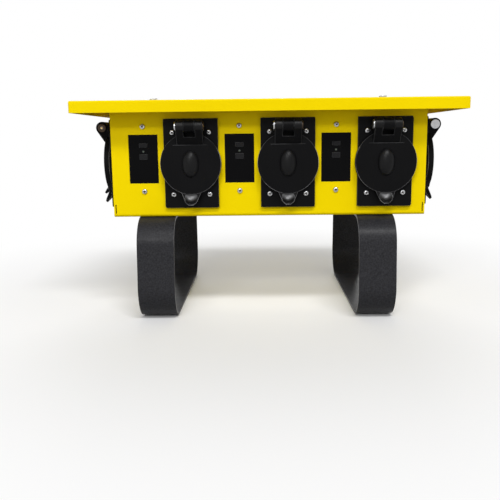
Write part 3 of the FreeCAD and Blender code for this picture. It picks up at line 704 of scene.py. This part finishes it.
def make_turned(name, section, finish):
    """A turned piece on the smaller end of every lid's pin."""
    work = bmesh.new()
    for joint in lid_joints():
        axis = -Vector(joint["axis"])
        place = in_millimetres(joint["pos_m"]) + axis * PIN_END
        stand = axis.to_track_quat("Z", "X").to_matrix()
        rings = []
        for radius, height in section:
            points = circle_points(radius, height, TURNED_SIDES)
            rings.append([work.verts.new((stand @ p + place) * MM) for p in points])
        for i, ring in enumerate(rings):
            last = rings[i - 1]
            for k in range(TURNED_SIDES):
                work.faces.new((last[k - 1], last[k], ring[k], ring[k - 1]))
    bmesh.ops.remove_doubles(work, verts=work.verts, dist=WELD * MM)
    bmesh.ops.recalc_face_normals(work, faces=work.faces)
    show(as_mesh(work, name), name, "box", finish)


def cross_points(reach, half, height):
    """Outline of a cross recess with equal arms."""
    arm = [Vector((reach, -half, height)), Vector((reach, half, height)), Vector((half, half, height))]
    turns = [2.0 * math.pi / CROSS_ARMS * k for k in range(CROSS_ARMS)]
    return [Matrix.Rotation(turn, 3, "Z") @ p for turn in turns for p in arm]


def add_screw(work, place, axis, size, turn):
    """A pan head with a cross recess, seated at a place in millimetres and facing along an axis."""
    radius, height = size
    rings = [circle_points(radius * r, height * h, SCREW_SIDES) for r, h in SCREW_PROFILE]
    for reach, half, level in (RECESS_TOP, RECESS_FLOOR):
        rings.append(cross_points(radius * reach, radius * half, height * level))
    facing = Vector(axis).to_track_quat("Z", "X").to_matrix()
    stand = facing @ Matrix.Rotation(math.radians(turn), 3, "Z")
    loops = [loop(work, [(stand @ p + Vector(place)) * MM for p in ring]) for ring in rings]
    for lower, upper in zip(loops, loops[1:]):
        made = bmesh.ops.bridge_loops(work, edges=lower + upper)
    # Painted shade: the cross recess gets the dark bronze finish
    recess = made["faces"] + bmesh.ops.contextual_create(work, geom=loops[-1])["faces"]
    for face in recess:
        face.material_index = RECESS_SHADE_FINISH
    bmesh.ops.contextual_create(work, geom=loops[0])


def make_screws(name, seats, size):
    """A group of screw heads. A seat is a place in millimetres and the axis that the head faces along."""
    work = bmesh.new()
    for i, (place, axis) in enumerate(seats):
        add_screw(work, place, axis, size, SCREW_TURN * i)
    bmesh.ops.recalc_face_normals(work, faces=work.faces)
    mesh = as_mesh(work, name)
    show(mesh, name, "box", "zinc")
    # Dark bronze as painted shade in the cross recesses
    mesh.materials.append(materials["bronze"])


def reach_along(node, axis):
    """How far a node reaches along an axis, in millimetres."""
    low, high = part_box(node)
    return max(sum(c * a for c, a in zip(corner, axis)) for corner in (low, high)) / MM


def seated(point, axis, level):
    """A point moved along an axis until it is at a level."""
    return point + axis * (level - point.dot(axis))


def square_seats(centre, axis, across, upright):
    """Four seats round a centre, on a wall that faces along an axis."""
    right = UP.cross(axis)
    seats = []
    for i in HALVES:
        for j in HALVES:
            seats.append((centre + right * (across * i) + UP * (upright * j), axis))
    return seats


def mount_seats(start, node, rise, spacing):
    """The screws round the mounts whose names start so, on faces that rise beyond a node."""
    seats = []
    for mount in frame["record"]["mounts"]:
        if mount["name"].startswith(start):
            axis = Vector(mount["axis"])
            face = reach_along(node, axis) + rise
            centre = seated(in_millimetres(mount["pos_m"]), axis, face)
            seats += square_seats(centre, axis, *spacing)
    return seats


def plate_seats():
    """The screws of the outlets' cover plates."""
    return mount_seats("outlet_", "plate_gaskets", PLATE_THICKNESS, PLATE_SCREW_SPACING)


def flange_seats():
    """The screws of the inlet's flange, which lies on the wall under the side panel's shelf."""
    rise = FLANGE_THICKNESS - SHELF_WIDTH
    return mount_seats("supply_inlet", "left_side_panel", rise, FLANGE_SCREW_SPACING)


def module_seats():
    """The yoke screws of the ground-fault modules, above and below each window."""
    seats = []
    for joint in frame["record"]["behaviour"]["joints"]:
        if joint["child"].startswith("test_button"):
            axis = -Vector(joint["axis"])
            low, high = (in_millimetres(c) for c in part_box(joint["child"]))
            centre = seated((low + high) / 2.0, axis, reach_along("enclosure_tub", axis))
            centre.z -= TEST_BUTTON_RISE
            for side in HALVES:
                seats.append((centre + UP * (MODULE_SCREW_SPACING * side), axis))
    return seats


def hinge_seats():
    """The screws along the door's hinge leaf."""
    low, high = (in_millimetres(c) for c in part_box("door_hinge_leaf"))
    face = low.y + LEAF_THICKNESS
    level = high.z - HINGE_SCREW_DROP
    return [(Vector((low.x + (high.x - low.x) * s, face, level)), BACKWARD) for s in HINGE_SCREW_SHARES]


def door_seats():
    """One screw on the back wall, below the middle of the door."""
    low, high = (in_millimetres(c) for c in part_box("access_door"))
    face = reach_along("enclosure_tub", BACKWARD)
    return [(Vector(((low.x + high.x) / 2.0, face, low.z - DOOR_SCREW_DROP)), BACKWARD)]


def floor_seats():
    """The screws that come through the floor of the box."""
    level = in_millimetres(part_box("enclosure_tub")[0]).z
    return [(Vector((x, y, level)), DOWN) for x, y in FLOOR_SCREW_PLACES]


# Stage


def make_camera():
    yaw = math.radians(CAMERA_YAW)
    pitch = math.radians(CAMERA_PITCH)
    roll = math.radians(CAMERA_ROLL)
    forward = Vector((math.sin(yaw) * math.cos(pitch), math.cos(yaw) * math.cos(pitch), math.sin(pitch)))
    level = Vector((math.cos(yaw), -math.sin(yaw), 0.0))
    upright = level.cross(forward)
    right = level * math.cos(roll) + upright * math.sin(roll)
    up = upright * math.cos(roll) - level * math.sin(roll)
    lens = bpy.data.cameras.new("camera")
    lens.sensor_width = SENSOR
    lens.lens = CAMERA_FOCAL / IMAGE_SIZE * SENSOR
    camera = new_object("camera", lens)
    turn = Matrix((right, up, -forward)).transposed().to_4x4()
    camera.matrix_world = Matrix.Translation(Vector(CAMERA_PLACE) * MM) @ turn
    bpy.context.scene.camera = camera


def make_lamp(name, azimuth, elevation, size, power):
    """A soft rectangular lamp turned to the object.

    Azimuth is in degrees from the front towards the right, size in metres and power in watts.
    """
    turn = math.radians(azimuth)
    rise = math.radians(elevation)
    target = Vector((0.0, 0.0, LAMP_TARGET * MM))
    away = Vector((math.sin(turn) * math.cos(rise), -math.cos(turn) * math.cos(rise), math.sin(rise)))
    light = bpy.data.lights.new(name, "AREA")
    light.shape = "RECTANGLE"
    light.size = size[0]
    light.size_y = size[1]
    light.energy = power
    lamp = new_object(name, light)
    lamp.location = target + away * LAMP_DISTANCE
    lamp.rotation_euler = (-away).to_track_quat("-Z", "Y").to_euler()


def seen_directly(tree):
    """One for camera, glossy and transmission rays, nought for the rest."""
    path = add(tree, "ShaderNodeLightPath").outputs
    first = combine(tree, "MAXIMUM", path["Is Camera Ray"], path["Is Glossy Ray"])
    return combine(tree, "MAXIMUM", first, path["Is Transmission Ray"])


def make_world(horizon, zenith):
    """A white surround, which lights the object less than it shows, and most from the sides."""
    world = bpy.data.worlds.new("surround")
    bpy.context.scene.world = world
    world.use_nodes = True
    tree = world.node_tree
    direction = add(tree, "ShaderNodeTexCoord").outputs["Generated"]
    height = add(tree, "ShaderNodeSeparateXYZ", {0: direction}).outputs["Z"]
    fill = remap(tree, height, 0.0, 1.0, horizon, zenith)
    strength = remap(tree, seen_directly(tree), 0.0, 1.0, fill, 1.0)
    background = tree.nodes["Background"]
    background.inputs["Color"].default_value = (1.0, 1.0, 1.0, 1.0)
    tree.links.new(strength, background.inputs["Strength"])


def make_floor():
    """A pale floor that takes the shadow and runs out to white."""
    work = bmesh.new()
    bmesh.ops.create_circle(work, cap_ends=True, radius=FLOOR_RADIUS, segments=FLOOR_SIDES)
    mesh = as_mesh(work, "floor")
    floor = new_object("floor", mesh)
    floor.location.z = -FLOOR_DROP * MM
    material, tree, shader, place = new_material("pale_floor")
    bounced = add(tree, "ShaderNodeLightPath").outputs["Is Diffuse Ray"]
    tone = blend_colour(tree, bounced, rgba(FLOOR_SEEN), rgba(FLOOR_BOUNCE))
    tree.links.new(tone, shader.inputs["Base Color"])
    shader.inputs["Roughness"].default_value = FLOOR_ROUGHNESS
    shader.inputs["Specular IOR Level"].default_value = 0.0
    distance = add(tree, "ShaderNodeVectorMath", {0: place}, operation="LENGTH").outputs["Value"]
    near, far = FLOOR_FADE
    away = add(
        tree,
        "ShaderNodeMapRange",
        {"Value": distance, "From Min": near, "From Max": far},
        interpolation_type="SMOOTHSTEP",
    ).outputs["Result"]
    white = add(tree, "ShaderNodeEmission", {"Strength": 1.0}).outputs[0]
    share = combine(tree, "MULTIPLY", away, seen_directly(tree))
    mixed = add(tree, "ShaderNodeMixShader", {0: share, 1: shader.outputs[0], 2: white})
    tree.links.new(mixed.outputs[0], tree.nodes["Material Output"].inputs["Surface"])
    mesh.materials.append(material)


# The object

materials = make_materials()
for node in frame["nodes"]:
    finish_solid(node)
make_turned("push_nuts", NUT_SECTION, "bronze")
make_turned("pin_rivets", RIVET_SECTION, "brass")

make_screws("plate_screws", plate_seats(), PLATE_SCREW)
make_screws("flange_screws", flange_seats(), PLATE_SCREW)
make_screws("module_screws", module_seats(), MODULE_SCREW)
make_screws("hinge_screws", hinge_seats(), HINGE_SCREW)
make_screws("door_screw", door_seats(), FLOOR_SCREW)
make_screws("floor_screws", floor_seats(), FLOOR_SCREW)

# What stands round it

make_camera()
make_world(horizon=1.0, zenith=0.05)
make_floor()
make_lamp("main", azimuth=12.0, elevation=50.0, size=(2.6, 0.8), power=128.0)
make_lamp("low", azimuth=-15.0, elevation=27.0, size=(1.8, 0.6), power=57.0)
make_lamp("back", azimuth=180.0, elevation=25.0, size=(2.4, 1.2), power=105.0)

bpy.context.scene.view_settings.view_transform = "Standard"
